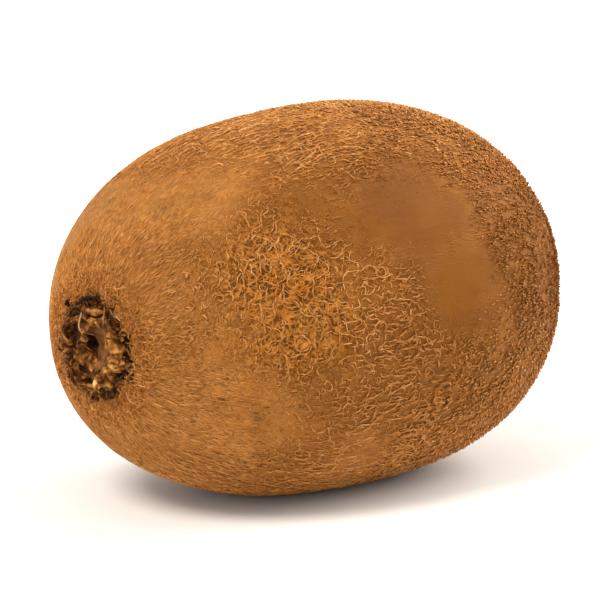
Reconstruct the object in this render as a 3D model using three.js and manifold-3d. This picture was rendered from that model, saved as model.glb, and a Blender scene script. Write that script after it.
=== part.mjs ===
// A whole kiwi fruit lying on its side, as it rests on a table.
//
// Millimetres, +Z up. +X runs along the fruit, from its stem end to its blossom end. The origin is the
// middle of the fruit's outline on the table, so the table is the plane z = 0.
//
// The fruit is one grown piece: its flesh and skin, the shallow dimple and pit where the stem broke off,
// and the small beak at the blossom end. The five dried sepals of the flower stay round the stem scar as
// separate scraps, which can be picked off.

import * as THREE from "three";
import { mergeVertices } from "three/addons/utils/BufferGeometryUtils.js";
import Module from "manifold-3d";

// ---- Driving dimensions -------------------------------------------------------------------------------

const LENGTH = 71; // before the dimples at its ends are worked in
const WIDTH = 50;
const HEIGHT = 47.9;

const FULLNESS = 2.69; // exponent of the long outline: 2 is an ellipsoid, and more is a barrel
const SQUARENESS = 2.13; // exponent of the cross-section: 2 is an ellipse
const TAPER = 0.046; // how much fuller the blossom end is, and how much thinner the stem end
const ARCH = 0.69; // how far the long axis bows upwards in the middle
const TILT = THREE.MathUtils.degToRad(1.7); // the full end lifts this far when the fruit lies at rest
const FLAT_DEPTH = 0.35; // how far the flat spot under the fruit is pressed in

const DIMPLE = { depth: 1.15, inner: 2.5, outer: 9 }; // the hollow that holds the sepals
const SCAR = { depth: 0.8, inner: 1.3, outer: 2.5 }; // the pit where the stem broke off, inside the dimple
const BEAK_DIMPLE = { depth: 0.7, inner: 1.5, outer: 6 }; // round the beak at the blossom end
const BEAK = { height: 1, inner: 0.5, outer: 1.9 };

const SEPAL_RING = 4.5; // from the fruit's axis to the middle of a sepal
const SEPAL_REACH = 1.85; // half of a sepal, measured outwards from the axis
const SEPAL_THICKNESS = 1.1;
const SEPAL_CURL = 0.5; // how far a sepal's two sides curl away from the skin
const SEPAL_POINT = 0.3; // how much narrower a sepal gets from its middle to its outer tip
const SEPAL_GAP = 0.3; // between a sepal and the skin
const SEPAL_SPACING = THREE.MathUtils.degToRad(7); // between the slots of two sepals, round the axis

// Where each sepal sits round the stem end, in degrees. 0 points to -Y and 90 points up.
const SEPALS = [
  { name: "sepal_top", from: 53, to: 133 },
  { name: "sepal_front", from: -17, to: 53 },
  { name: "sepal_bottom", from: -87, to: -17 },
  { name: "sepal_back_bottom", from: 205, to: 273 },
  { name: "sepal_back", from: 133, to: 205 },
];

const OUTLINE_STEPS = 52; // from the stem end to the blossom end
const ROUND_STEPS = 56;
const END_CROWDING = 0.72; // 0 spaces the outline's steps evenly, and nearly 1 crowds them at both ends

// ---- Shape of the skin --------------------------------------------------------------------------------

// 1 inside the inner radius, 0 outside the outer radius, and smooth between them.
function spot(radius, { inner, outer }) {
  return 1 - THREE.MathUtils.smoothstep(radius, inner, outer);
}

// How far the stem end's skin lies in from its smooth outline, at a distance from the axis.
function stemHollow(radius) {
  return DIMPLE.depth * spot(radius, DIMPLE) + SCAR.depth * spot(radius, SCAR);
}

// The same for the blossom end, where the beak stands out again.
function blossomHollow(radius) {
  return BEAK_DIMPLE.depth * spot(radius, BEAK_DIMPLE) - BEAK.height * spot(radius, BEAK);
}

// Distance from the axis, as a share of the half width, at u = -1 (stem end) to 1 (blossom end).
function outlineRadius(u) {
  return Math.sqrt(Math.max(0, 1 - Math.abs(u) ** FULLNESS)) * (1 + TAPER * u);
}

// Corner of the cross-section at an angle, for a section of half width and half height 1.
function sectionCorner(angle) {
  const [c, s] = [Math.cos(angle), Math.sin(angle)];
  const size = (Math.abs(c) ** SQUARENESS + Math.abs(s) ** SQUARENESS) ** (-1 / SQUARENESS);
  return [c * size, s * size];
}

// Where the skin of the stem end lies along X, at a distance from the axis.
function stemSkin(radius) {
  const share = radius / (HEIGHT / 2) / (1 - TAPER);
  return -(LENGTH / 2) * (1 - share * share) ** (1 / FULLNESS) + stemHollow(radius);
}

// The outline from end to end, as (distance from the axis, place along it), both as shares.
function outline() {
  const points = [];
  for (let i = 0; i <= OUTLINE_STEPS; i++) {
    const t = i / OUTLINE_STEPS;
    const polar = Math.PI * t - (END_CROWDING / 2) * Math.sin(2 * Math.PI * t);
    const u = -Math.cos(polar);
    const atEnd = i === 0 || i === OUTLINE_STEPS;
    points.push(new THREE.Vector2(atEnd ? 0 : outlineRadius(u), u));
  }
  return points;
}

// Turns the round unit outline into the fruit: wider than high, slightly square, bowed, and with its ends
// worked in. LatheGeometry turns the outline about Y, so its Y becomes the fruit's X, and its X becomes -Y.
function fruitGeometry() {
  const geometry = new THREE.LatheGeometry(outline(), ROUND_STEPS);
  const position = geometry.getAttribute("position");
  for (let i = 0; i < position.count; i++) {
    const u = position.getY(i);
    const share = Math.hypot(position.getX(i), position.getZ(i));
    const [across, up] = sectionCorner(Math.atan2(position.getZ(i), position.getX(i)));
    const y = -(WIDTH / 2) * share * across;
    const z = (HEIGHT / 2) * share * up;
    const radius = Math.hypot(y, z);
    const x = (LENGTH / 2) * u + (u < 0 ? stemHollow(radius) : -blossomHollow(radius));
    position.setXYZ(i, x, y, z + ARCH * (1 - u * u));
  }
  return geometry;
}

// ---- Solids -------------------------------------------------------------------------------------------

const wasm = await Module();
wasm.setup();

// A closed geometry as a manifold-3d solid.
function toSolid(geometry) {
  const bare = geometry.clone();
  bare.deleteAttribute("normal");
  bare.deleteAttribute("uv");
  const merged = mergeVertices(bare, 1e-4);
  return new wasm.Manifold(
    new wasm.Mesh({
      numProp: 3,
      vertProperties: new Float32Array(merged.getAttribute("position").array),
      triVerts: new Uint32Array(merged.index.array),
    }),
  );
}

function toGeometry(solid) {
  const mesh = solid.getMesh();
  const geometry = new THREE.BufferGeometry();
  geometry.setAttribute("position", new THREE.BufferAttribute(mesh.vertProperties, 3));
  geometry.setIndex(new THREE.BufferAttribute(mesh.triVerts, 1));
  geometry.computeVertexNormals();
  return geometry;
}

// The fruit at rest, with everything that lies below the table's plane cut away to leave the flat spot.
// Its origin is the middle of its own axis. Returns the geometry and the table's height.
function restingFruit() {
  const fruit = fruitGeometry().rotateY(-TILT);
  fruit.computeBoundingBox();
  const table = fruit.boundingBox.min.z + FLAT_DEPTH;
  const below = new THREE.BoxGeometry(LENGTH, WIDTH, HEIGHT).translate(0, 0, table - HEIGHT / 2);
  return { geometry: toGeometry(toSolid(fruit).subtract(toSolid(below))), table };
}

// A dried sepal: an oval scrap, bent round the stem scar and lying in the dimple. It is a unit ball whose
// X goes round the axis, Y goes outwards from it and Z is the scrap's thickness.
function sepalGeometry({ from, to }) {
  const geometry = new THREE.SphereGeometry(1, 20, 12);
  const position = geometry.getAttribute("position");
  const middle = THREE.MathUtils.degToRad((from + to) / 2);
  const halfTurn = (THREE.MathUtils.degToRad(to - from) - SEPAL_SPACING) / 2;
  for (let i = 0; i < position.count; i++) {
    const [along, outward, up] = [position.getX(i), position.getY(i), position.getZ(i)];
    const angle = middle - halfTurn * along * (1 - SEPAL_POINT * outward);
    const radius = SEPAL_RING + SEPAL_REACH * outward;
    const lift = (SEPAL_THICKNESS / 2) * (1 + up) + SEPAL_CURL * along * along;
    const x = stemSkin(radius) - SEPAL_GAP - lift;
    position.setXYZ(i, x, -radius * Math.cos(angle), radius * Math.sin(angle));
  }
  return geometry;
}

// ---- Materials ----------------------------------------------------------------------------------------

const skin = new THREE.MeshStandardMaterial({ name: "skin", color: 0xa4682f, roughness: 0.85, metalness: 0 });
const calyx = new THREE.MeshStandardMaterial({ name: "calyx", color: 0x6b4a2c, roughness: 0.9, metalness: 0 });

// ---- The kiwi -----------------------------------------------------------------------------------------

function named(name, geometry, material) {
  const mesh = new THREE.Mesh(geometry, material);
  mesh.name = name;
  return mesh;
}

const kiwi = new THREE.Group();
kiwi.name = "kiwi_fruit";

const { geometry: fruit, table } = restingFruit();
kiwi.add(named("fruit", fruit, skin));

const stemEnd = new THREE.Group(); // tilts with the fruit's axis
stemEnd.rotation.y = -TILT;
for (const sepal of SEPALS) {
  stemEnd.add(named(sepal.name, sepalGeometry(sepal), calyx));
}
kiwi.add(stemEnd);

// Stand it on z = 0, with the middle of its outline over the origin.
const middle = new THREE.Box3().setFromObject(kiwi, true).getCenter(new THREE.Vector3());
kiwi.children.forEach((child) => child.position.set(-middle.x, -middle.y, -table));

export default kiwi;
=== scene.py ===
"""A whole kiwi fruit on its side: fuzzy skin, dried calyx round the stem scar, and beak at the blossom end.

Shapes are worked out in millimetres, in the fruit's own frame: X runs along its axis from the stem end to
the blossom end, and the origin is the middle of the fruit. Blender objects are in metres, in the row frame.
Angles round the axis are in degrees: 0 faces -Y, and 90 faces up.
"""

import math
from itertools import product

import bpy
import numpy as np
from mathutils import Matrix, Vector
from mathutils.bvhtree import BVHTree


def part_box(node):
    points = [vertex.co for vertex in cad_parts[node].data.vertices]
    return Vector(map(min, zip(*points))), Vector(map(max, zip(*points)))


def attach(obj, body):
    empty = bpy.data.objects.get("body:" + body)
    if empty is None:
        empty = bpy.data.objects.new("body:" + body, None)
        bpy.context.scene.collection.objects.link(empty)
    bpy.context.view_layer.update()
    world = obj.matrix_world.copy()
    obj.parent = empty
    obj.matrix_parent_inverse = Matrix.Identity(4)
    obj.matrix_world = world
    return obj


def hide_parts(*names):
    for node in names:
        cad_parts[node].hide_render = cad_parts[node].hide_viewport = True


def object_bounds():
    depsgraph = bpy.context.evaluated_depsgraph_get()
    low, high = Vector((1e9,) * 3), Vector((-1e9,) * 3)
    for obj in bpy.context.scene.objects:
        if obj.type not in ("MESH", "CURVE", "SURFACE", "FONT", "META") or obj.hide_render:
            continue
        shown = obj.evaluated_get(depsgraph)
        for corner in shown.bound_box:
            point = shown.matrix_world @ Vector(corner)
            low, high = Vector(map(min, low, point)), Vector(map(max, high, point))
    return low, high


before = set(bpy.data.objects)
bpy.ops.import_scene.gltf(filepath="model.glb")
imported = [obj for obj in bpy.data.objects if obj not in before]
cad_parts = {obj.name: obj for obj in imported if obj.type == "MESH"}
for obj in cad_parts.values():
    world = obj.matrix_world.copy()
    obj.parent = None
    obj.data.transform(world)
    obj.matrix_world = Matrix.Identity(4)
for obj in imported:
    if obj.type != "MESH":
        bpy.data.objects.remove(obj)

CAD_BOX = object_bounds()
MM = 0.001

# ---- Driving values -----------------------------------------------------------------------------------

TILT = math.radians(1.7)  # the blossom end lies this much higher than the stem end
RINGS = 246  # rows of the skin's mesh, from end to end
SECTORS = 390  # columns of the skin's mesh, round the axis
END_CROWDING = 0.3  # how much closer the rows lie at both ends
BLUR_PASSES = 40  # to round the facets away

CAMERA_ANGLES = (-42.2, 10.8)  # azimuth and elevation, in degrees
CAMERA_DISTANCE = 383.5
CAMERA_LENS = 180
SENSOR = 36
AIM_LEFT = 0.76  # the camera looks this far to the left of the fruit's middle, and this far above it
AIM_UP = 0.42

FLOOR_HALF = 4.0  # half the floor's side, in metres
DAYLIGHT = 0.85  # the even light from all round
SUNS = [  # name, azimuth, elevation, softness and strength
    ("key", -84, 52, 24, 2.3),
    ("rim", 74, 36, 50, 2.9),
    ("low", -98, 10, 40, 0.5),
]

# ---- Numbers and noise --------------------------------------------------------------------------------


def rgb(red, green, blue):
    """A linear colour from its usual 0 to 255 values."""
    shares = np.array([red, green, blue]) / 255
    return (*np.where(shares <= 0.04045, shares / 12.92, ((shares + 0.055) / 1.055) ** 2.4), 1.0)


def smooth(low, high, value):
    """0 below low, 1 above high, and smooth between them."""
    share = np.clip((value - low) / (high - low), 0, 1)
    return share * share * (3 - 2 * share)


def unit(vectors):
    return vectors / np.maximum(np.linalg.norm(vectors, axis=-1, keepdims=True), 1e-9)


def lattice_values(cells, seed):
    """An even random number from -1 to 1 for each whole-numbered lattice point."""
    mixed = np.full(cells.shape[:-1], seed * 2654435761 % 2**32, np.uint64)
    for axis, prime in enumerate((374761393, 668265263, 2147483647)):
        mixed = (mixed + cells[..., axis].astype(np.uint64) * prime) & 0xFFFFFFFF
        mixed = ((mixed ^ (mixed >> 15)) * 2246822519) & 0xFFFFFFFF
    mixed = ((mixed ^ (mixed >> 13)) * 3266489917) & 0xFFFFFFFF
    return ((mixed ^ (mixed >> 16)) / 2**31) - 1


def noise(points, size, seed):
    """Smooth noise from about -1 to 1, with features of the given size."""
    places = points / size
    cells = np.floor(places).astype(np.int64)
    shares = places - cells
    shares = shares * shares * (3 - 2 * shares)
    total = 0
    for corner in product((0, 1), repeat=3):
        weight = np.prod(np.where(corner, shares, 1 - shares), axis=-1)
        total = total + weight * lattice_values(cells + corner + 4096, seed)
    return total


def noise_vectors(points, size, seed):
    """Vectors of three such noises, from the seed and the two after it."""
    return np.stack([noise(points, size, seed + k) for k in range(3)], axis=-1)


# ---- The fruit's own frame ----------------------------------------------------------------------------

SEPALS = [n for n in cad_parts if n.startswith("sepal")]
AXIS = np.array([math.cos(TILT), 0, math.sin(TILT)])
TURN = np.array([AXIS, [0, 1, 0], [-math.sin(TILT), 0, math.cos(TILT)]])  # rows: own X, Y and Z axes


def find_middle():
    """The middle of the fruit, in millimetres in the row frame."""
    ring = np.mean([(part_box(n)[0].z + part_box(n)[1].z) / 2 for n in SEPALS]) / MM
    half_length = (CAD_BOX[1].x - CAD_BOX[0].x) / 2 / MM
    return np.array([(CAD_BOX[0].x + CAD_BOX[1].x) / 2 / MM, 0, ring + half_length * math.sin(TILT)])


MIDDLE = find_middle()


def to_row(points):
    """Points of the fruit's own frame, as metres in the row frame."""
    return (points @ TURN + MIDDLE) * MM


def directions(polar, around):
    """Unit vectors at polar angles from the stem end and angles round the axis, both in radians."""
    return np.stack(
        [-np.cos(polar), -np.sin(polar) * np.cos(around), np.sin(polar) * np.sin(around)], axis=-1
    )


class Skin:
    """The fruit's smooth surface, as its distance from the middle in every direction."""

    def __init__(self):
        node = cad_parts["fruit"]
        tree = BVHTree.FromPolygons(
            [v.co / MM for v in node.data.vertices], [list(p.vertices) for p in node.data.polygons]
        )
        t = np.linspace(0, 1, RINGS + 1)
        self.polar = np.pi * (t - END_CROWDING * np.sin(2 * np.pi * t) / (2 * np.pi))
        self.around = np.linspace(0, 2 * np.pi, SECTORS, endpoint=False)
        rays = directions(*np.meshgrid(self.polar, self.around, indexing="ij")) @ TURN
        start = Vector(MIDDLE)
        hits = [tree.ray_cast(start, Vector(ray))[3] for ray in rays.reshape(-1, 3)]
        self.reach = self.rounded(np.array(hits).reshape(RINGS + 1, SECTORS))

    @staticmethod
    def rounded(reach):
        """Blurs the facets away, and leaves the ends, where the facets are small, as they are."""
        blurred = reach.copy()
        for _ in range(BLUR_PASSES):
            blurred = (np.roll(blurred, 1, 1) + 2 * blurred + np.roll(blurred, -1, 1)) / 4
            blurred[1:-1] = (blurred[:-2] + 2 * blurred[1:-1] + blurred[2:]) / 4
        row = np.minimum(np.arange(RINGS + 1), RINGS - np.arange(RINGS + 1))[:, None]
        return reach + (blurred - reach) * smooth(14, 50, row)

    def reach_at(self, rays):
        """Distance from the middle to the skin along each unit vector."""
        polar = np.arccos(np.clip(-rays[..., 0], -1, 1))
        around = np.arctan2(rays[..., 2], -rays[..., 1]) % (2 * np.pi)
        row = np.interp(polar, self.polar, np.arange(RINGS + 1))
        column = around / (2 * np.pi) * SECTORS
        r0 = np.minimum(row.astype(int), RINGS - 1)
        c0 = column.astype(int) % SECTORS
        c1 = (c0 + 1) % SECTORS
        dr, dc = row - r0, column - column.astype(int)
        near = self.reach[r0, c0] * (1 - dc) + self.reach[r0, c1] * dc
        far = self.reach[r0 + 1, c0] * (1 - dc) + self.reach[r0 + 1, c1] * dc
        return near * (1 - dr) + far * dr

    def on(self, points):
        """The points moved along lines from the middle until they lie on the skin."""
        rays = unit(points)
        return rays * self.reach_at(rays)[..., None]

    def normals(self, points, step=0.3):
        """Outward unit normals of the skin at points on it."""
        across = unit(np.cross(points, [1.0, 0.02, 0.01]))
        along = unit(np.cross(across, points))
        first = self.on(points + step * across) - self.on(points - step * across)
        second = self.on(points + step * along) - self.on(points - step * along)
        normal = unit(np.cross(first, second))
        return normal * np.sign(np.sum(normal * points, axis=-1, keepdims=True))


skin = Skin()

# ---- Where things are on the skin ---------------------------------------------------------------------


def place(points):
    """Place along the axis, distance from it, and degrees round it."""
    around = np.degrees(np.arctan2(points[..., 2], -points[..., 1]))
    return points[..., 0], np.hypot(points[..., 1], points[..., 2]), around


def patch(points, along, degrees, half_length, half_turn):
    """1 in the middle of an oval patch of skin, fading to 0 some way outside its ragged edge."""
    x, _, around = place(points)
    turned = (around - degrees + 180) % 360 - 180
    ragged = 0.3 * noise(points, 8.0, 11) + 0.22 * noise(points, 3.5, 12) + 0.12 * noise(points, 1.3, 15)
    return 1 - smooth(0.0, 1.4, np.hypot((x - along) / half_length, turned / half_turn) + ragged)


# Patches of skin: strength, place along the axis, degrees round it, half length, and half turn in degrees
BALD = [  # a slanting patch in front, and two smaller ones at the back
    (1.0, -1, 35, 12, 18),
    (0.8, 4, 14, 8, 15),
    (0.4, -11, 45, 9, 12),
    (0.55, 12, 150, 12, 22),
    (0.55, -8, 250, 13, 20),
]
CURLY = [(1.05, -21, 21, 10, 34), (0.45, -8, 3, 14, 19), (0.7, 4, -140, 18, 36), (0.5, -6, 165, 14, 24)]


def bald(points):
    """How far the fuzz is rubbed off."""
    return np.max([strength * patch(points, *oval) for strength, *oval in BALD], axis=0)


def curly(points):
    """Where the fuzz is matted into curls, not combed."""
    return np.clip(sum(strength * patch(points, *oval) for strength, *oval in CURLY), 0, 1)


def stubbly(points):
    """1 towards the blossom end, where the fuzz is short and thick and stands up a little."""
    x, _, _ = place(points)
    return smooth(-12, 10, x + 5 * noise(points, 9.0, 13)) * (1 - curly(points))


def sleek(points):
    """1 on the stem end's shoulders, where the fuzz is thin and flat."""
    x, radius, _ = place(points)
    shoulders = smooth(-14, -26, x + 3 * noise(points, 8.0, 14)) * smooth(8, 10.5, radius)
    return shoulders * (1 - 0.7 * curly(points))


# ---- Meshes -------------------------------------------------------------------------------------------


def add_mesh(name, points, faces, material, fields):
    """A new piece: points in metres, arrays of faces with as many corners each, and values at the points."""
    mesh = bpy.data.meshes.new(name)
    corners = np.concatenate([f.ravel() for f in faces])
    sizes = np.concatenate([np.full(len(f), f.shape[1]) for f in faces])
    mesh.vertices.add(len(points))
    mesh.vertices.foreach_set("co", points.astype(np.float32).ravel())
    mesh.loops.add(len(corners))
    mesh.loops.foreach_set("vertex_index", corners.astype(np.int32))
    mesh.polygons.add(len(sizes))
    mesh.polygons.foreach_set("loop_start", (np.cumsum(sizes) - sizes).astype(np.int32))
    mesh.polygons.foreach_set("use_smooth", np.ones(len(sizes), bool))
    mesh.update(calc_edges=True)
    for key, values in fields.items():
        kind, field = ("FLOAT", "value") if values.ndim == 1 else ("FLOAT_VECTOR", "vector")
        mesh.attributes.new(key, kind, "POINT").data.foreach_set(field, values.astype(np.float32).ravel())
    mesh.materials.append(material)
    piece = bpy.data.objects.new(name, mesh)
    bpy.context.scene.collection.objects.link(piece)
    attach(piece, "root")
    return piece


def grid_faces(rows, columns):
    """Quads of a grid whose columns close into a ring."""
    row, column = np.meshgrid(np.arange(rows - 1), np.arange(columns), indexing="ij")
    after = (column + 1) % columns
    quads = np.stack([row * columns + column, row * columns + after,
                      (row + 1) * columns + after, (row + 1) * columns + column], axis=-1)
    return quads.reshape(-1, 4)


def end_faces(rows, columns):
    """Triangles that close both ends of such a grid, each to a point of its own after the grid's."""
    column = np.arange(columns)
    after = (column + 1) % columns
    first, last = rows * columns, (rows - 1) * columns
    return np.concatenate([
        np.stack([np.full(columns, first), after, column], axis=-1),
        np.stack([np.full(columns, first + 1), last + column, last + after], axis=-1),
    ])


# ---- Materials ----------------------------------------------------------------------------------------

SHEEN_TINT = rgb(255, 190, 110)


class Nodes:
    """Short ways to build a material's nodes."""

    def __init__(self, name):
        self.material = bpy.data.materials.new(name)
        self.material.use_nodes = True
        self.tree = self.material.node_tree
        self.shader = self.tree.nodes["Principled BSDF"]

    def add(self, kind, **settings):
        node = self.tree.nodes.new(kind)
        for key, value in settings.items():
            setattr(node, key, value)
        return node

    def link(self, out, into):
        self.tree.links.new(out, into)

    def feed(self, values, sockets):
        """Gives each socket its value: another node's is linked, and a plain one is set."""
        for value, socket in zip(values, sockets):
            if hasattr(value, "is_output"):
                self.link(value, socket)
            else:
                socket.default_value = value

    def attribute(self, name, output="Fac"):
        return self.add("ShaderNodeAttribute", attribute_name=name).outputs[output]

    def stretched(self, place, scale, shift=0.0):
        mapping = self.add("ShaderNodeMapping")
        mapping.inputs["Scale"].default_value = scale
        mapping.inputs["Location"].default_value = (shift,) * 3
        self.link(place, mapping.inputs["Vector"])
        return mapping.outputs["Vector"]

    def lines(self, place, size, width):
        """Crooked lines, 1 where a noise crosses its middle, and 0 where it is width away from it."""
        off = self.math("ABSOLUTE", self.math("SUBTRACT", self.noise(1 / size, 1, place), 0.5))
        step = self.add("ShaderNodeMapRange", interpolation_type="SMOOTHSTEP")
        step.inputs["From Max"].default_value = width
        step.inputs["To Min"].default_value = 1
        step.inputs["To Max"].default_value = 0
        self.link(off, step.inputs["Value"])
        return step.outputs["Result"]

    def patches(self, place, size):
        """Soft patches of 1 among 0."""
        step = self.add("ShaderNodeMapRange", interpolation_type="SMOOTHSTEP")
        step.inputs["From Min"].default_value = 0.42
        step.inputs["From Max"].default_value = 0.56
        self.link(self.noise(1 / size, 1, place), step.inputs["Value"])
        return step.outputs["Result"]

    def warped(self, place, size, far):
        """The place, shifted about by noise."""
        about = self.noise(1 / size, 2, place, "Color")
        shift = self.add("ShaderNodeVectorMath", operation="MULTIPLY_ADD")
        self.feed((about, (2 * far,) * 3, place), shift.inputs)
        return shift.outputs["Vector"]

    def noise(self, scale, detail, place, output="Fac"):
        node = self.add("ShaderNodeTexNoise")
        node.inputs["Scale"].default_value = scale
        node.inputs["Detail"].default_value = detail
        self.link(place, node.inputs["Vector"])
        return node.outputs[output]

    def ramp(self, factor, *stops):
        """A colour ramp through (place, colour) stops."""
        node = self.add("ShaderNodeValToRGB")
        elements = node.color_ramp.elements
        for element, (position, colour) in zip(elements, (stops[0], stops[-1])):
            element.position = position
            element.color = colour
        for position, colour in stops[1:-1]:
            elements.new(position).color = colour
        self.link(factor, node.inputs["Fac"])
        return node.outputs["Color"]

    def blotches(self, place, scale, detail, dark, pale):
        """A colour that drifts between a dark and a pale one."""
        return self.ramp(self.noise(scale, detail, place), (0.35, dark), (0.65, pale))

    def mix(self, factor, first, second):
        node = self.add("ShaderNodeMix", data_type="RGBA")
        self.feed((factor, first, second), (node.inputs[0], node.inputs[6], node.inputs[7]))
        return node.outputs[2]

    def math(self, operation, *values):
        node = self.add("ShaderNodeMath", operation=operation)
        self.feed(values, node.inputs)
        return node.outputs[0]

    def bump(self, height, strength, distance):
        node = self.add("ShaderNodeBump")
        node.inputs["Strength"].default_value = strength
        node.inputs["Distance"].default_value = distance
        self.link(height, node.inputs["Height"])
        self.link(node.outputs["Normal"], self.shader.inputs["Normal"])

    def set(self, **values):
        for key, value in values.items():
            self.shader.inputs[key.replace("_", " ")].default_value = value


def skin_material():
    """Brown skin: creases and pale threads where combed, and a net of threads over hollows where curled, with
    the creases and hollows painted dark as shade.
    """
    n = Nodes("kiwi skin")
    own = n.attribute("own", "Vector")
    flow = n.attribute("flow", "Vector")
    curl = n.attribute("curl")
    bare = n.attribute("bald")
    covered = n.math("SUBTRACT", 1.0, bare)
    crease, thread, net = 0.0, 0.0, 0.0
    for k, size in enumerate((0.95, 0.7, 0.5)):
        combed = n.stretched(n.warped(flow, 1.8, 0.16), (0.2, 1, 1), 3.7 * k)
        gaps = n.patches(n.stretched(own, (1, 1, 1), 5.1 * k), 1.1)
        crease = n.math("MAXIMUM", crease, n.math("MULTIPLY", n.lines(combed, size, 0.045), gaps))
        beside = n.stretched(combed, (1, 1, 1), 0.16)
        thread = n.math("MAXIMUM", thread, n.math("MULTIPLY", n.lines(beside, size, 0.05), gaps))
        curled = n.stretched(n.warped(own, 1.6, 0.4), (1, 1, 1), 7.3 * k)
        net = n.math("MAXIMUM", net, n.lines(curled, 1.5 * size, 0.07))
    uneven = n.math("MULTIPLY_ADD", n.noise(0.16, 2, own), 1.6, -0.15)
    combing = n.math("MULTIPLY", n.math("MULTIPLY", covered, n.math("SUBTRACT", 1.0, curl)), uneven)
    crease = n.math("MULTIPLY", crease, combing)
    thread = n.math("MULTIPLY", thread, combing)
    net = n.math("MULTIPLY", net, n.math("MULTIPLY", covered, curl))
    # Painted shade: the skin in the hollows between the curled threads is darkened.
    hollow_shade = n.ramp(
        n.noise(0.3, 4, own), (0.35, rgb(80, 38, 0)), (0.52, rgb(100, 54, 2)), (0.68, rgb(106, 74, 26))
    )
    ridge = n.blotches(own, 0.8, 3, rgb(164, 98, 28), rgb(196, 130, 56))
    plain = n.blotches(own, 0.25, 4, rgb(156, 98, 36), rgb(178, 118, 56))
    streaks = n.math(
        "ADD", n.noise(0.12, 3, own), n.math("MULTIPLY_ADD", n.noise(1.4, 2, combed), 0.3, -0.15)
    )
    rubbed = n.ramp(streaks, (0.35, rgb(106, 58, 2)), (0.65, rgb(122, 70, 8)))
    # Painted shade: the creases are darkened in the colour.
    dark = n.blotches(own, 0.5, 3, rgb(108, 58, 6), rgb(130, 74, 16))
    # The skin under the fuzz, painted darker as the hairs' shade.
    under = n.blotches(own, 0.4, 3, rgb(120, 70, 20), rgb(146, 90, 34))
    # Pale threads beside the creases: the fuzz's paler tone, and a painted highlight along the ridge by each
    # crease.
    colour = n.mix(n.math("MULTIPLY", thread, 0.65), plain, rgb(210, 152, 90))
    colour = n.mix(n.attribute("fuzzy"), colour, under)
    colour = n.mix(n.math("MULTIPLY", crease, 0.65), colour, dark)
    colour = n.mix(curl, colour, n.mix(net, hollow_shade, ridge))
    colour = n.mix(n.math("SMOOTH_MIN", n.math("MULTIPLY", bare, 1.4), 1.0, 0.2), colour, rubbed)
    scar = n.blotches(own, 0.9, 4, rgb(78, 42, 16), rgb(142, 90, 44))
    colour = n.mix(n.attribute("scar"), colour, scar)
    # Painted shade round the calyx and in the stem pit, darkened nearly to black; at the blossom end the same
    # browns are the beak's own dark colour.
    shade_and_beak_colour = n.blotches(own, 1.4, 3, rgb(34, 16, 4), rgb(82, 44, 14))
    colour = n.mix(n.math("MULTIPLY", n.attribute("painted_shade_and_beak"), 0.97), colour, shade_and_beak_colour)
    n.link(colour, n.shader.inputs["Base Color"])
    grain = n.math("MULTIPLY", n.noise(2.2, 3, combed), n.math("MULTIPLY_ADD", covered, 0.35, 0.06))
    threads = n.math("ADD", net, n.math("MULTIPLY", thread, 0.5))
    n.bump(n.math("ADD", n.math("SUBTRACT", threads, crease), grain), 1.0, 0.15 * MM)
    n.set(
        Roughness=0.62, Specular_IOR_Level=0.1, Sheen_Weight=0.22, Sheen_Roughness=0.4, Sheen_Tint=SHEEN_TINT
    )
    return n.material


def fuzz_material():
    """Dry golden-brown hairs, each of its own tone and paler to its tip."""
    n = Nodes("kiwi fuzz")
    colour = n.ramp(
        n.attribute("tone"),
        (0.0, rgb(92, 48, 8)),
        (0.14, rgb(132, 76, 18)),
        (0.4, rgb(178, 110, 40)),
        (0.75, rgb(208, 145, 76)),
        (1.0, rgb(238, 190, 132)),
    )
    n.link(colour, n.shader.inputs["Base Color"])
    n.set(
        Roughness=0.55, Specular_IOR_Level=0.22, Sheen_Weight=0.25, Sheen_Roughness=0.4, Sheen_Tint=SHEEN_TINT
    )
    return n.material


def calyx_material():
    """Dead papery tissue: grey-brown to cream, with fibres along the sheet."""
    n = Nodes("dried calyx")
    own = n.attribute("own", "Vector")
    sheet = n.stretched(n.attribute("sheet", "Vector"), (0.5, 3, 1))
    tone = n.math("ADD", n.attribute("tone"), n.math("MULTIPLY_ADD", n.noise(1.6, 4, own), 0.9, -0.45))
    tone = n.math("ADD", tone, n.math("MULTIPLY_ADD", n.noise(3.0, 3, sheet), 0.5, -0.25))
    colour = n.ramp(
        tone,
        (0.0, rgb(30, 16, 6)),
        (0.28, rgb(70, 40, 14)),
        (0.52, rgb(128, 78, 32)),
        (0.78, rgb(180, 124, 64)),
        (1.0, rgb(226, 180, 120)),
    )
    n.link(colour, n.shader.inputs["Base Color"])
    n.bump(n.math("ADD", n.noise(3.0, 4, sheet), n.noise(4.0, 3, own)), 0.8, 0.2 * MM)
    n.set(Roughness=0.65, Specular_IOR_Level=0.05)
    return n.material


def fibre_material():
    """The dark to pale fibres in the calyx."""
    n = Nodes("calyx fibre")
    colour = n.ramp(
        n.attribute("tone"), (0.0, rgb(40, 26, 16)), (0.5, rgb(120, 76, 40)), (1.0, rgb(214, 170, 116))
    )
    n.link(colour, n.shader.inputs["Base Color"])
    n.set(Roughness=0.6, Specular_IOR_Level=0.3)
    return n.material


# ---- Skin ---------------------------------------------------------------------------------------------


def pit(points):
    """1 in the deepest part of the stem scar, beside its middle."""
    return (points[:, 0] < 0) * (1 - smooth(0.3, 1.3, np.hypot(points[:, 1] - 1.7, points[:, 2] - 0.2)))


def stem_relief(points):
    """How the stem end's skin rises and falls: a groove outside the sepals, and creases and a pit inside."""
    x, radius, _ = place(points)
    ragged = radius + 0.6 * noise(points, 1.6, 51)
    groove = smooth(4.6, 5.8, ragged) * (1 - smooth(6.2, 7.6, ragged))
    creases = (1 - smooth(3.2, 4.6, radius)) * noise(points, 1.1, 52)
    return (x < 0) * (0.14 * creases - 0.7 * groove) - 2.2 * pit(points)


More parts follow.
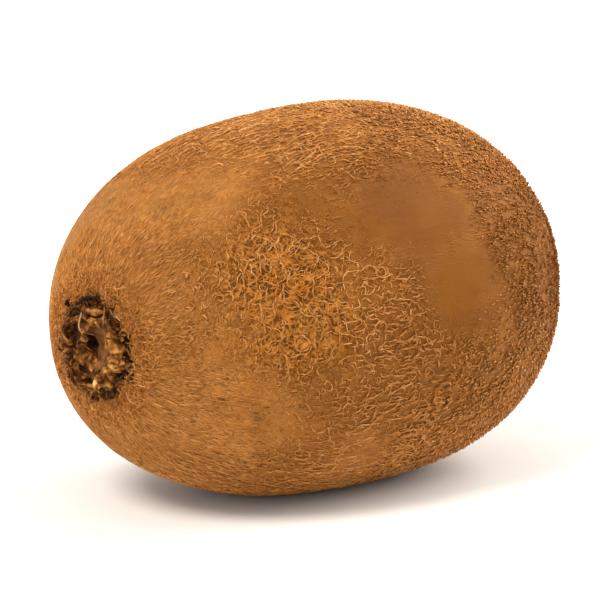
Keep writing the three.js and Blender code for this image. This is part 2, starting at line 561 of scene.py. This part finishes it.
def build_skin(material):
    """The whole skin, with soft lumps and fine streaks, flat underneath, and bare where the stem was."""
    rays = directions(*np.meshgrid(skin.polar[1:-1], skin.around, indexing="ij")).reshape(-1, 3)
    ends = np.array([[-1.0, 0, 0], [1.0, 0, 0]])
    points = skin.on(np.concatenate([rays, ends]))
    rest = smooth(1.5, 6, points @ TURN[:, 2] + MIDDLE[2])  # 0 on the flat spot under the fruit
    rub = bald(points)
    x, radius, _ = place(points)
    streaks = noise(points * [0.45, 1, 1], 0.9, 2) + 0.6 * noise(points * [0.5, 1, 1], 0.45, 3)
    lumps = 0.16 * noise(points, 9.0, 1) + 0.05 * noise(points, 3.0, 4)
    relief = rest * (lumps + 0.05 * (1 - 0.75 * rub) * streaks) + stem_relief(points)
    points = points + skin.normals(points) * relief[:, None]
    placed = to_row(points)
    placed[:, 2] = np.maximum(placed[:, 2], 0)
    ragged = radius + 0.8 * noise(points, 1.4, 5)
    scar = (x < 0) * (1 - smooth(3.6, 4.6, ragged))
    # Painted shade: the groove outside the sepals and the gaps between the tufts round them are darkened in
    # the colour.
    tuft_gap_shade = 0.8 * smooth(0.05, 0.45, noise(points, 0.6, 53)) * (1 - smooth(7.5, 10.0, ragged))
    round_calyx = smooth(3.4, 4.6, ragged) * np.maximum(0.92 * (1 - smooth(5.8, 6.8, ragged)), tuft_gap_shade)
    beak = 0.7 * (1 - smooth(1.3, 2.4, ragged))
    # Painted shade round the calyx and in the stem pit; at the blossom end, the beak's own dark brown.
    painted_shade_and_beak = np.where(x < 0, np.maximum(round_calyx, pit(points)), beak)
    # Where the fuzz covers the skin, whose colour is painted darker there as the hairs' shade.
    fuzzy = 0.9 * (1 - smooth(0.35, 0.9, rub)) * (1 - 0.6 * sleek(points))
    fuzzy = fuzzy * np.where(x < 0, smooth(7, 11, radius), 1)
    fields = {
        "bald": rub, "scar": scar, "painted_shade_and_beak": painted_shade_and_beak, "curl": curly(points), "own": points, "flow": flow(points),
        "fuzzy": fuzzy,
    }
    faces = [grid_faces(RINGS - 1, SECTORS), end_faces(RINGS - 1, SECTORS)]
    return add_mesh("fruit_skin", placed, faces, material, fields)


# ---- Fuzz ---------------------------------------------------------------------------------------------

SIDES = 3  # of a thread


def strands(name, lines, normals, radii, tones, material):
    """Closed tapering threads along lines of points, as one piece. tones are from 0, dark, to 1, pale."""
    count, steps, _ = lines.shape
    along = unit(np.gradient(lines, axis=1))
    side = unit(np.cross(normals[:, None], along))
    up = np.cross(along, side)
    taper = np.interp(np.linspace(0, 1, steps), [0, 0.2, 0.8, 1], [0.6, 1, 0.85, 0.2])
    width = (radii[:, None] * taper)[..., None]
    corners = []
    for turn in (math.pi / 2, math.pi * 7 / 6, math.pi * 11 / 6):
        corners.append(lines + width * (math.cos(turn) * side + math.sin(turn) * up))
    rings = np.stack(corners, axis=2)[:, :-1].reshape(count, -1, 3)
    points = np.concatenate([rings, lines[:, -1:]], axis=1)
    size = points.shape[1]
    start = (np.arange(count) * size)[:, None, None]
    quads = []
    for k in range(steps - 2):
        for j in range(SIDES):
            a, b = k * SIDES + j, k * SIDES + (j + 1) % SIDES
            quads.append([a, b, b + SIDES, a + SIDES])
    tip = (steps - 2) * SIDES
    triangles = [[tip + j, tip + (j + 1) % SIDES, size - 1] for j in range(SIDES)] + [[2, 1, 0]]
    faces = [(start + np.array(quads)).reshape(-1, 4), (start + np.array(triangles)).reshape(-1, 3)]
    paler = np.linspace(-0.12, 0.12, steps)[None] + tones[:, None]
    tone = np.concatenate([np.repeat(paler[:, :-1], SIDES, axis=1), paler[:, -1:]], axis=1)
    fields = {"tone": np.clip(tone.ravel(), 0, 1)}
    piece = add_mesh(name, to_row(points.reshape(-1, 3)), faces, material, fields)
    unwrap(piece, count, steps)
    return piece


def unwrap(piece, count, steps):
    """Gives a piece of threads its map for baking: a square for each thread, with its sides as columns."""
    sides = [
        [(j, k), (j + 1, k), (j + 1, k + 1), (j, k + 1)] for k in range(steps - 2) for j in range(SIDES)
    ]
    tips = [[(j, steps - 2), (j + 1, steps - 2), (j + 0.5, steps - 1)] for j in range(SIDES)]
    root = [[(3.3, 0), (3.9, 0), (3.6, 0.8)]]  # beside the sides
    across = math.ceil(math.sqrt(count))
    squares = np.stack([np.arange(count) % across, np.arange(count) // across], axis=-1)[:, None, None]
    shape = [SIDES + 1, steps - 1]
    places = [squares + 0.06 + 0.88 * np.array(part, float) / shape for part in (sides, tips + root)]
    corners = np.concatenate([part.reshape(-1, 2) for part in places]) / across
    piece.data.uv_layers.new(name="OFBake").data.foreach_set("uv", corners.astype(np.float32).ravel())


BARE_RADIUS = (6.8, 1.6)  # no hairs stand this near the axis, at the stem end and at the blossom end


def crowding(points, curls):
    """How closely the hairs stand. curls says how many more, or fewer, of them there are in the curls."""
    x, radius, _ = place(points)
    at_ends = radius + 0.5 * noise(points, 1.5, 32) < np.where(x < 0, *BARE_RADIUS)
    clumps = np.maximum(smooth(-0.8, 0.6, noise(points, 3.5, 31)), 0.8 * sleek(points))
    worn = 1 - 0.95 * smooth(0.1, 1.0, bald(points))
    thicker = (1 + 0.5 * sleek(points)) * (1 + 0.4 * stubbly(points))
    return (0.55 + clumps) * worn * thicker * (1 + curls * curly(points)) * np.where(at_ends, 0, 1)


def scatter(count, curls, random):
    """About count random roots on the skin, in line with its area and the crowding."""
    tries = count * 6
    rays = unit(random.normal(size=(tries, 3)))
    points = rays * skin.reach_at(rays)[:, None]
    stretch = np.sum(points**2, axis=1) / np.maximum(np.sum(skin.normals(points) * rays, axis=1), 0.2)
    weight = stretch * crowding(points, curls)
    return points[random.random(tries) < weight * count / weight.sum()]


def flow(points):
    """The skin unrolled along the way that the fuzz lies: place along the skin, and place round the axis."""
    x, radius, around = place(points)
    turn = np.radians(around)
    spread = 7 + 0.72 * radius
    along = x + 0.5 * np.sign(x) * (25 - radius)
    return np.stack([along, spread * np.cos(turn), spread * np.sin(turn)], axis=-1)


class Weave:
    """One family of crooked lines on the skin, where a noise is 0. The hairs are matted along them."""

    def __init__(self, size, stretch, seed):
        self.size, self.stretch, self.seed = size, stretch, seed

    def value(self, points):
        curl = curly(points)
        swirl = noise_vectors(points, 7.0, self.seed + 1)
        flowing = flow(points) + 1.3 * swirl
        combed = noise(flowing / [self.stretch, 1, 1], self.size, self.seed)
        curled = noise(points + 0.5 * swirl, self.size * 1.25, self.seed + 5)
        return combed + (curled - combed) * curl

    def slope(self, points, normals):
        """The value and its gradient along the skin."""
        step = 0.06 * self.size
        first = unit(np.cross(normals, [0.02, 1.0, 0.03]))
        second = np.cross(normals, first)
        here = self.value(points)
        one = (self.value(points + step * first) - here) / step
        two = (self.value(points + step * second) - here) / step
        return here, one[:, None] * first + two[:, None] * second

    def towards(self, points, normals, most):
        """How far to move the points to reach the nearest line, and the way along it."""
        here, slope = self.slope(points, normals)
        steep = np.sum(slope**2, axis=1)
        shift = -(here / np.maximum(steep, 0.15 / self.size**2))[:, None] * slope
        far = np.linalg.norm(shift, axis=1, keepdims=True)
        return shift * np.minimum(1, most / np.maximum(far, 1e-9)), unit(np.cross(normals, slope))

    def trace(self, points, length, steps, random):
        """Lines of points from near each root, along the family's lines, or the meridians where combed."""
        straight = np.maximum(0.95 * stubbly(points), 0.75 * sleek(points))[:, None]
        for _ in range(2):
            shift, _ = self.towards(points, skin.normals(points), 0.35 * self.size)
            points = skin.on(points + shift)
        way = unit(np.array([1.0, 0, 0]) + 0.35 * random.normal(size=points.shape))
        line = [points]
        stride = (length / (steps - 1))[:, None]
        for _ in range(steps - 1):
            normals = skin.normals(points)
            shift, along = self.towards(points, normals, 0.12 * self.size)
            along = along * np.where(np.sum(along * way, axis=1, keepdims=True) < 0, -1, 1)
            meridian = unit(np.cross(np.cross([1.0, 0, 0], points), normals))
            along, shift = along + (meridian - along) * straight, shift * (1 - straight)
            way = unit(0.35 * way + along)
            way = unit(way - normals * np.sum(way * normals, axis=1, keepdims=True))
            points = skin.on(points + stride * way + 0.6 * shift)
            line.append(points)
        return np.stack(line, axis=1)


# Families of lines, with their share of the hairs, half thickness, tone, and how much commoner in the curls
WEAVES = [
    (Weave(1.15, 2.4, 100), 0.20, 0.070, 0.62, 1.2),
    (Weave(0.85, 2.6, 200), 0.26, 0.062, 0.55, 1.2),
    (Weave(0.65, 2.8, 300), 0.28, 0.055, 0.50, -0.75),
    (Weave(0.50, 2.8, 400), 0.26, 0.050, 0.45, -0.75),
]
HAIRS = 84000
HAIR_POINTS = 5
DARKEST, PALEST = 0.04, 0.95  # tones of the hairs
FLOOR_GAP = 0.0001  # metres, at least, from a hair to the floor
STEM_PART, BLOSSOM_PART = -12, 12  # where the fuzz is split into pieces along the axis


def grow(weave, share, thickness, tone, curls, random):
    """The hairs of one family: their lines, half thicknesses and tones."""
    roots = scatter(int(HAIRS * share), curls, random)
    count = len(roots)
    steps = np.linspace(0, 1, HAIR_POINTS)
    stubble, flat, rub, curl = stubbly(roots), sleek(roots), bald(roots), curly(roots)
    worn = 1 - 0.6 * smooth(0, 0.7, rub)
    length = random.uniform(0.8, 1.5, count) * (0.8 + 0.3 * weave.size)
    length *= (1 - 0.42 * stubble) * (1 - 0.25 * flat) * worn * (1 - 0.35 * smooth(0, 0.5, curl))
    line = weave.trace(roots, length, HAIR_POINTS, random)
    line = line + random.normal(size=(count, 1, 3)) * 0.03
    pressed = 1 - 0.95 * smooth(0, 0.6, rub)
    high = random.uniform(0.03, 0.16, count) * (1 + 0.6 * curl) * pressed * (1 - 0.8 * flat)
    tip = random.uniform(0.04, 0.5, count) * (0.15 + 0.85 * stubble) * pressed
    rise = high[:, None] * np.sin(steps * 2.7) + tip[:, None] * steps**2 + 0.01
    rise += (thickness * (0.35 - 0.95 * smooth(0.1, 0.9, rub)))[:, None]
    rays = unit(line)
    line = rays * (skin.reach_at(rays) + rise)[..., None]
    broad = (1 + 0.5 * stubble) * (1 - 0.28 * flat) * worn
    radii = thickness * random.uniform(0.75, 1.2, count) * broad
    even = (1 - 0.55 * flat) * (1 - 0.3 * stubble)
    tones = tone + 0.13 * random.normal(size=count) * even + 0.12 * noise(roots, 6.0, 41)
    tones = tones - 0.25 * smooth(0, 0.6, rub) + 0.02 * flat
    # Some hairs are made dark to stand in for the shade in the skin's creases: painted shade.
    dark = random.random(count) < 0.1 * flat + 0.12 * stubble
    return line, radii, np.clip(np.where(dark, DARKEST, tones), DARKEST, PALEST)


def build_fuzz(material):
    """All the hairs, in three parts along the axis with four pieces round it in each."""
    random = np.random.default_rng(7)
    families = [grow(*family, random) for family in WEAVES]
    line, radii, tones = (np.concatenate(values) for values in zip(*families))
    normals = skin.normals(line[:, HAIR_POINTS // 2])
    above = to_row(line.reshape(-1, 3))[:, 2].reshape(len(line), -1).min(axis=1) > FLOOR_GAP
    x, _, around = place(line[:, 0])
    quarter = ((around + 45) // 90).astype(int) % 4
    part = np.where(x < STEM_PART, 0, np.where(x < BLOSSOM_PART, 1, 2))
    pieces = []
    for (i, end), (j, side) in product(
        enumerate(("stem", "middle", "blossom")), enumerate(("front", "top", "back", "under"))
    ):
        chosen = above & (part == i) & (quarter == j)
        name = f"fuzz_{end}_{side}"
        pieces.append(strands(name, line[chosen], normals[chosen], radii[chosen], tones[chosen], material))
    return pieces


# ---- Calyx --------------------------------------------------------------------------------------------

STEM_X = -34.3  # where the skin lies round the stem scar
BLOSSOM_X = 34.8  # and round the beak
OUT = np.array([-1.0, 0, 0])  # away from the fruit, at the stem end


def spline(points, count):
    """A smooth line of count places through a few points."""
    points = np.asarray(points, float)
    padded = np.concatenate([2 * points[:1] - points[1:2], points, 2 * points[-1:] - points[-2:-1]])
    t = np.linspace(0, len(points) - 1, count)
    i = np.minimum(t.astype(int), len(points) - 2)
    f = (t - i)[:, None]
    p0, p1, p2, p3 = (padded[i + k] for k in range(4))
    bend = (2 * p0 - 5 * p1 + 4 * p2 - p3) * f**2 + (3 * p1 - p0 - 3 * p2 + p3) * f**3
    return p1 + ((p2 - p0) * f + bend) / 2


def at_end(rows, x):
    """Points from rows of distance from the axis, degrees round it, and height above the skin."""
    radius, degrees, height = np.asarray(rows, float).T
    turn = np.radians(degrees)
    feet = np.stack([np.full_like(radius, x), -radius * np.cos(turn), radius * np.sin(turn)], axis=-1)
    return skin.on(feet) + height[:, None] * OUT * -np.sign(x)


def at_stem(rows):
    return at_end(rows, STEM_X)


def scrap(rows, width, start, curl, thickness, seed, count=84, across=26):
    """A dried scrap: a thick sheet swept along a line, and rolled up by its curl from its start angle.

    Both are in degrees: 90 stands up from the fruit, and 180 lies towards its axis. Returns the points, the
    faces of the sides and of the ends, each point's place on the sheet, and how far the folds lift it."""
    line = spline(at_stem(rows), count)
    s = np.linspace(0, 1, count)
    w = np.linspace(0, 1, across)
    wobble = noise(np.stack([s * 5, s * 0, s * 0 + seed], axis=-1), 1.0, seed)
    twist = noise(np.stack([s * 3, s * 0, s * 0 + seed], axis=-1), 1.0, seed + 1)
    along = unit(np.gradient(line, axis=0))
    out = unit(OUT - along * (along @ OUT)[:, None])
    side = np.cross(along, out)
    wide = width * np.sin(np.pi * (0.06 + 0.88 * s)) ** 0.6 * (1 + 0.3 * wobble)
    angle = np.radians(start) + 0.5 * twist[:, None] + np.radians(curl) * (1 + 0.3 * wobble[:, None]) * w
    step = wide[:, None] / (across - 1)
    run = np.cumsum(np.cos(angle) * step, axis=1) - np.cos(angle[:, :1]) * step
    rise = np.cumsum(np.sin(angle) * step, axis=1) - np.sin(angle[:, :1]) * step
    middle = line[:, None] + run[..., None] * side[:, None] + rise[..., None] * out[:, None]
    face = -np.sin(angle)[..., None] * side[:, None] + np.cos(angle)[..., None] * out[:, None]
    middle = middle + 0.16 * width**0.5 * noise_vectors(middle, 1.1, seed * 7)
    folds = 0.45 * noise(middle * [1, 1.2, 1.2], 0.75, seed * 5) + 0.25 * noise(middle, 0.4, seed * 5 + 1)
    flat = np.stack(np.broadcast_arrays(s[:, None] * 3.2, w * width, seed * 2.7), axis=-1)
    flat = flat + 0.25 * noise(middle, 1.0, seed * 5 + 4)[..., None]
    folds = folds + 0.7 * (1 - 2.6 * np.abs(noise(flat, 0.62, seed * 5 + 2)))
    middle = middle + face * (0.3 * thickness**0.5 * folds)[..., None]
    half = thickness / 2 * (0.3 + 0.7 * np.sqrt(np.sin(np.pi * w)))
    half = half * (0.5 + 0.5 * np.sin(np.pi * s) ** 0.4)[:, None]
    half = (half * (1 + 0.5 * noise(middle, 0.6, seed * 5 + 3)))[..., None]
    points = np.concatenate([middle + face * half, (middle - face * half)[:, ::-1]], axis=1).reshape(-1, 3)
    points = points + 0.045 * noise_vectors(points, 0.26, seed * 7)
    ring = 2 * across
    ends = points.reshape(count, ring, 3)[[0, -1]].mean(axis=1)
    there_and_back = np.concatenate([w, w[::-1]]) * width
    sheet = np.stack(np.broadcast_arrays(s[:, None] * width * 2, there_and_back), axis=-1)
    sheet = np.concatenate([sheet.reshape(-1, 2), [[0, 0.5], [2 * width, 0.5]]])
    sheet = np.concatenate([sheet, np.full((len(sheet), 1), seed * 3.1)], axis=1)
    relief = np.append(np.concatenate([folds, -folds[:, ::-1]], axis=1).ravel(), [0, 0])
    return np.concatenate([points, ends]), grid_faces(count, ring), end_faces(count, ring), sheet, relief


def build_scraps(name, scraps, material):
    """One piece from (scrap, tone) pairs."""
    points, quads, triangles, sheets, tones, total = [], [], [], [], [], 0
    for (corners, sides, ends, sheet, relief), tone in scraps:
        points.append(corners)
        quads.append(sides + total)
        triangles.append(ends + total)
        sheets.append(sheet)
        # The tone is darker where the folds sink and paler where they rise: painted shade in the folds and
        # painted light on their tops.
        tones.append(tone + 0.32 * relief - 0.04)
        total += len(corners)
    points = np.concatenate(points)
    faces = [np.concatenate(quads), np.concatenate(triangles)]
    fields = {"own": points, "sheet": np.concatenate(sheets), "tone": np.concatenate(tones)}
    return add_mesh(name, to_row(points), faces, material, fields)


# Each sepal's scraps: a line of (distance from the axis, degrees, height), then width, start, curl, thickness
# and tone. Their order matters, because a scrap's seed is its place in the whole list.
SEPAL_SHAPES = {
    "sepal_front": [
        ([(4.7, 56, 0.0), (5.0, 38, 0.3), (4.9, 20, 0.4), (4.7, 2, 0.3), (4.8, -20, 0.1)],
         3.8, 40, 250, 0.65, 0.52),
        ([(5.3, 16, 0.2), (4.6, 0, 0.7), (4.5, -16, 0.8), (5.4, -26, 0.3)], 3.0, 70, 200, 0.6, 0.68),
        ([(4.0, 34, 0.3), (3.6, 14, 0.4), (3.8, -8, 0.2)], 1.4, 110, 90, 0.4, 0.35),
    ],
    "sepal_top": [
        ([(4.9, 54, 0.0), (4.4, 64, 1.1), (4.2, 76, 1.3), (4.6, 92, 0.2)], 1.7, 120, 170, 0.45, 0.62),
        ([(5.6, 62, 0.0), (5.3, 80, 0.6), (5.0, 98, 0.5), (5.2, 114, 0.0)], 1.8, 80, 150, 0.5, 0.42),
        ([(3.2, 96, 0.2), (2.5, 116, 0.7), (2.2, 142, 0.5), (2.6, 166, 0.1)], 1.3, 90, 160, 0.4, 0.62),
    ],
    "sepal_back": [
        ([(4.2, 112, 0.0), (4.3, 134, 0.6), (4.9, 158, 0.6), (5.6, 182, 0.4), (5.8, 200, 0.0)],
         2.4, 70, 170, 0.55, 0.48),
        ([(5.2, 168, 0.4), (5.6, 184, 0.8), (5.5, 200, 0.3)], 1.6, 60, 240, 0.5, 0.42),
        ([(5.6, 128, 0.0), (5.5, 146, 0.4), (5.9, 162, 0.0)], 1.5, 90, 140, 0.45, 0.5),
    ],
    "sepal_back_bottom": [
        ([(4.4, 192, 0.1), (3.8, 212, 0.3), (3.3, 234, 0.3), (3.4, 256, 0.0)], 3.1, 165, 50, 0.45, 0.52),
        ([(5.6, 204, 0.1), (5.3, 222, 0.5), (5.1, 242, 0.5), (5.4, 268, 0.0)], 1.9, 60, 150, 0.5, 0.42),
        ([(4.7, 214, 0.3), (4.4, 232, 0.5), (4.5, 254, 0.2)], 1.3, 110, 110, 0.4, 0.45),
    ],
    "sepal_bottom": [
        ([(5.4, -60, 0.3), (5.45, -50, 0.5), (5.4, -40, 0.6), (5.6, -31, 0.3)], 5.2, 60, 320, 0.5, 0.55),
        ([(5.7, -84, 0.0), (5.0, -76, 0.7), (4.6, -64, 0.9), (4.9, -52, 0.3)], 1.2, 100, 200, 0.35, 0.7),
        ([(4.2, -82, 0.2), (3.9, -64, 0.6), (4.2, -46, 0.2)], 1.7, 80, 220, 0.45, 0.34),
        ([(6.4, -66, 0.0), (6.3, -48, 0.4), (6.5, -30, 0.0)], 1.4, 60, 160, 0.4, 0.34),
    ],
}


def build_sepals(material):
    """The five dried sepals, each a piece of a few scraps."""
    seed = 0
    for name, shapes in SEPAL_SHAPES.items():
        scraps = []
        for *shape, tone in shapes:
            seed += 1
            scraps.append((scrap(*shape, seed), tone))
        piece = build_scraps(name + "_dried", scraps, material)
        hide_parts(name)


CRUMB_SEEDS = range(30, 66)  # one for each crumb, after the sepals' own


def build_crumbs(material):
    """Small broken scraps round the ring of sepals."""
    random = np.random.default_rng(5)
    scraps = []
    for seed in CRUMB_SEEDS:
        degrees, radius = random.uniform(0, 360), random.uniform(3.9, 6.7)
        turn = random.uniform(-16, 16)
        rows = [
            (radius + random.uniform(-0.5, 0.5), degrees + turn * k, random.uniform(0.0, 0.8))
            for k in (-0.5, 0, 0.5)
        ]
        width, start, curl = random.uniform(0.4, 1.1), random.uniform(30, 150), random.uniform(60, 300)
        shape = scrap(rows, width, start, curl, 0.3, seed, count=26, across=10)
        scraps.append((shape, random.uniform(0.12, 0.6)))
    build_scraps("calyx_crumbs", scraps, material)


WILD_HAIR_POINTS = 8


def wild_hairs(name, roots, way, length, bend, radii, tones, material):
    """Loose hairs that leave their roots along a way, and turn by their bend, in radians."""
    random = np.random.default_rng(len(roots))
    count = len(roots)
    steps = np.linspace(0, 1, WILD_HAIR_POINTS)
    side = unit(np.cross(way, random.normal(size=(count, 3))))
    other = np.cross(way, side)
    turn = steps * bend[:, None]
    run = length[:, None] * steps
    line = roots[:, None] + way[:, None] * (run * np.cos(turn / 2))[..., None]
    line += side[:, None] * (run * np.sin(turn / 2))[..., None]
    sway = 0.12 * length[:, None] * np.sin(steps * random.uniform(2, 7, (count, 1)))
    line += other[:, None] * sway[..., None]
    rays = unit(line)
    low = skin.reach_at(rays) + 0.03
    far = np.maximum(np.linalg.norm(line, axis=-1), low)
    far[:, 0] -= 0.1  # sinks the root in the skin
    return strands(name, rays * far[..., None], unit(roots), radii, tones, material)


TUFT_HAIRS = 6800  # before the gaps between the tufts are cleared
FIBRES = 110
STYLES = 70


def build_tufts(material):
    """The rough ring of hairs round the calyx."""
    random = np.random.default_rng(3)
    count = TUFT_HAIRS
    degrees = random.uniform(0, 360, count)
    radius = 6.5 + 3.8 * random.random(count) ** 1.3
    roots = at_stem(np.stack([radius, degrees, np.zeros(count)], axis=-1))
    clumped = noise(roots, 1.3, 61) > -0.25
    roots, radius = roots[clumped], radius[clumped]
    count = len(roots)
    outward = unit(roots * [0, 1, 1])
    near = 1 - smooth(6, 9.5, radius)
    way = skin.normals(roots) * (0.15 + 0.5 * near[:, None]) + outward * random.uniform(-0.4, 0.9, (count, 1))
    way = unit(way + 0.8 * random.normal(size=(count, 3)))
    length = random.uniform(0.4, 1.1, count) * (0.7 + 0.4 * near)
    tones = np.clip(0.38 + 0.18 * random.normal(size=count), 0, 1)
    radii = random.uniform(0.04, 0.07, count)
    bend = random.uniform(2.0, 8.0, count)
    piece = wild_hairs("stem_tufts", roots, way, length, bend, radii, tones, material)


# Fibres that stand out: a line of (distance from the axis, degrees, height), then half thickness and tone
LONG_FIBRES = [
    ([(5.2, 108, 0.2), (4.2, 112, 0.9), (3.0, 120, 1.3), (1.9, 133, 1.2)], 0.15, 0.75),
    ([(2.9, 122, 1.2), (2.1, 118, 1.0), (1.5, 100, 0.5)], 0.12, 0.7),
    ([(5.4, 196, 0.2), (6.1, 203, 0.5), (6.8, 207, 1.2)], 0.13, 0.25),
    ([(5.8, 70, 0.1), (6.0, 60, 0.9), (5.2, 50, 1.3), (4.6, 42, 0.9)], 0.09, 0.6),
    ([(6.4, 8, 0.2), (5.8, 2, 1.3), (5.0, -2, 1.5)], 0.08, 0.8),
]
LONG_FIBRE_POINTS = 12


def build_fibres(material):
    """Stiff dry fibres left among the sepals."""
    random = np.random.default_rng(9)
    count = FIBRES
    radius, degrees = random.uniform(3.4, 6.8, count), random.uniform(0, 360, count)
    roots = at_stem(np.stack([radius, degrees, np.full(count, 0.1)], axis=-1))
    way = unit(OUT * random.uniform(0.2, 1, (count, 1)) + 0.8 * random.normal(size=(count, 3)))
    length = random.uniform(0.6, 1.8, count)
    radii = random.uniform(0.04, 0.09, count)
    tones = random.uniform(0, 0.8, count)
    bend = random.uniform(0.2, 2.0, count)
    piece = wild_hairs("calyx_fibres", roots, way, length, bend, radii, tones, material)
    rows, radii, tones = zip(*LONG_FIBRES)
    lines = np.stack([spline(at_stem(places), LONG_FIBRE_POINTS) for places in rows])
    piece = strands("calyx_long_fibres", lines, unit(lines[:, 0]), np.array(radii), np.array(tones), material)


def build_styles(material):
    """The dried stubs of the flower's styles, which stay on the beak at the blossom end."""
    random = np.random.default_rng(11)
    count = STYLES
    spread, degrees = random.uniform(0, 1, count), random.uniform(0, 360, count)
    roots = at_end(np.stack([0.3 + 1.5 * np.sqrt(spread), degrees, np.zeros(count)], axis=-1), BLOSSOM_X)
    outward = unit(roots * [0, 1, 1])
    way = unit(-OUT + outward * (0.2 + 1.1 * spread[:, None]) + 0.35 * random.normal(size=(count, 3)))
    length = random.uniform(0.5, 1.3, count)
    radii = random.uniform(0.06, 0.13, count)
    tones = random.uniform(0, 0.6, count)
    bend = random.uniform(0.4, 2.6, count)
    piece = wild_hairs("dried_styles", roots, way, length, bend, radii, tones, material)


# ---- Scene --------------------------------------------------------------------------------------------

SUNLIGHT = rgb(255, 250, 242)


def build_camera():
    """The camera, where the photograph was taken from."""
    azimuth, elevation = (math.radians(a) for a in CAMERA_ANGLES)
    back = np.array([
        math.sin(azimuth) * math.cos(elevation), -math.cos(azimuth) * math.cos(elevation), math.sin(elevation)
    ])
    right = np.array([math.cos(azimuth), math.sin(azimuth), 0])
    aim = MIDDLE - AIM_LEFT * right + AIM_UP * np.cross(back, right)
    data = bpy.data.cameras.new("camera")
    data.lens = CAMERA_LENS
    data.sensor_width = SENSOR
    camera = bpy.data.objects.new("camera", data)
    camera.location = (aim + back * CAMERA_DISTANCE) * MM
    camera.rotation_euler = Vector(-back).to_track_quat("-Z", "Y").to_euler()
    bpy.context.scene.collection.objects.link(camera)
    bpy.context.scene.camera = camera


def build_sun(name, azimuth, elevation, softness, strength):
    """Even light from one side: azimuth 0 comes from -Y and 90 from +X, and softness is the light's width."""
    data = bpy.data.lights.new(name, "SUN")
    data.angle = math.radians(softness)
    data.energy = strength
    data.color = SUNLIGHT[:3]
    light = bpy.data.objects.new(name, data)
    light.rotation_euler = (math.radians(90 - elevation), 0, math.radians(azimuth))
    bpy.context.scene.collection.objects.link(light)


def build_stage():
    """A plain pale floor, and soft light."""
    n = Nodes("floor")
    n.set(Roughness=0.9, Specular_IOR_Level=0.1, Base_Color=rgb(244, 243, 240))
    corners = [(FLOOR_HALF * x, FLOOR_HALF * y, 0) for x, y in ((-1, -1), (1, -1), (1, 1), (-1, 1))]
    mesh = bpy.data.meshes.new("floor")
    mesh.from_pydata(corners, [], [(0, 1, 2, 3)])
    mesh.materials.append(n.material)
    floor = bpy.data.objects.new("floor", mesh)
    bpy.context.scene.collection.objects.link(floor)
    world = bpy.data.worlds.new("studio")
    world.use_nodes = True
    background = world.node_tree.nodes["Background"]
    background.inputs["Color"].default_value = rgb(250, 250, 250)
    background.inputs["Strength"].default_value = DAYLIGHT
    bpy.context.scene.world = world
    for sun in SUNS:
        build_sun(*sun)
    bpy.context.scene.view_settings.view_transform = "Standard"


# ---- The kiwi -----------------------------------------------------------------------------------------

build_camera()
build_stage()

body = build_skin(skin_material())
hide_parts("fruit")
fuzz = fuzz_material()
for piece in build_fuzz(fuzz):
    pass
build_tufts(fuzz)
dried = calyx_material()
build_sepals(dried)
build_crumbs(dried)
fibre = fibre_material()
build_fibres(fibre)
build_styles(fibre)
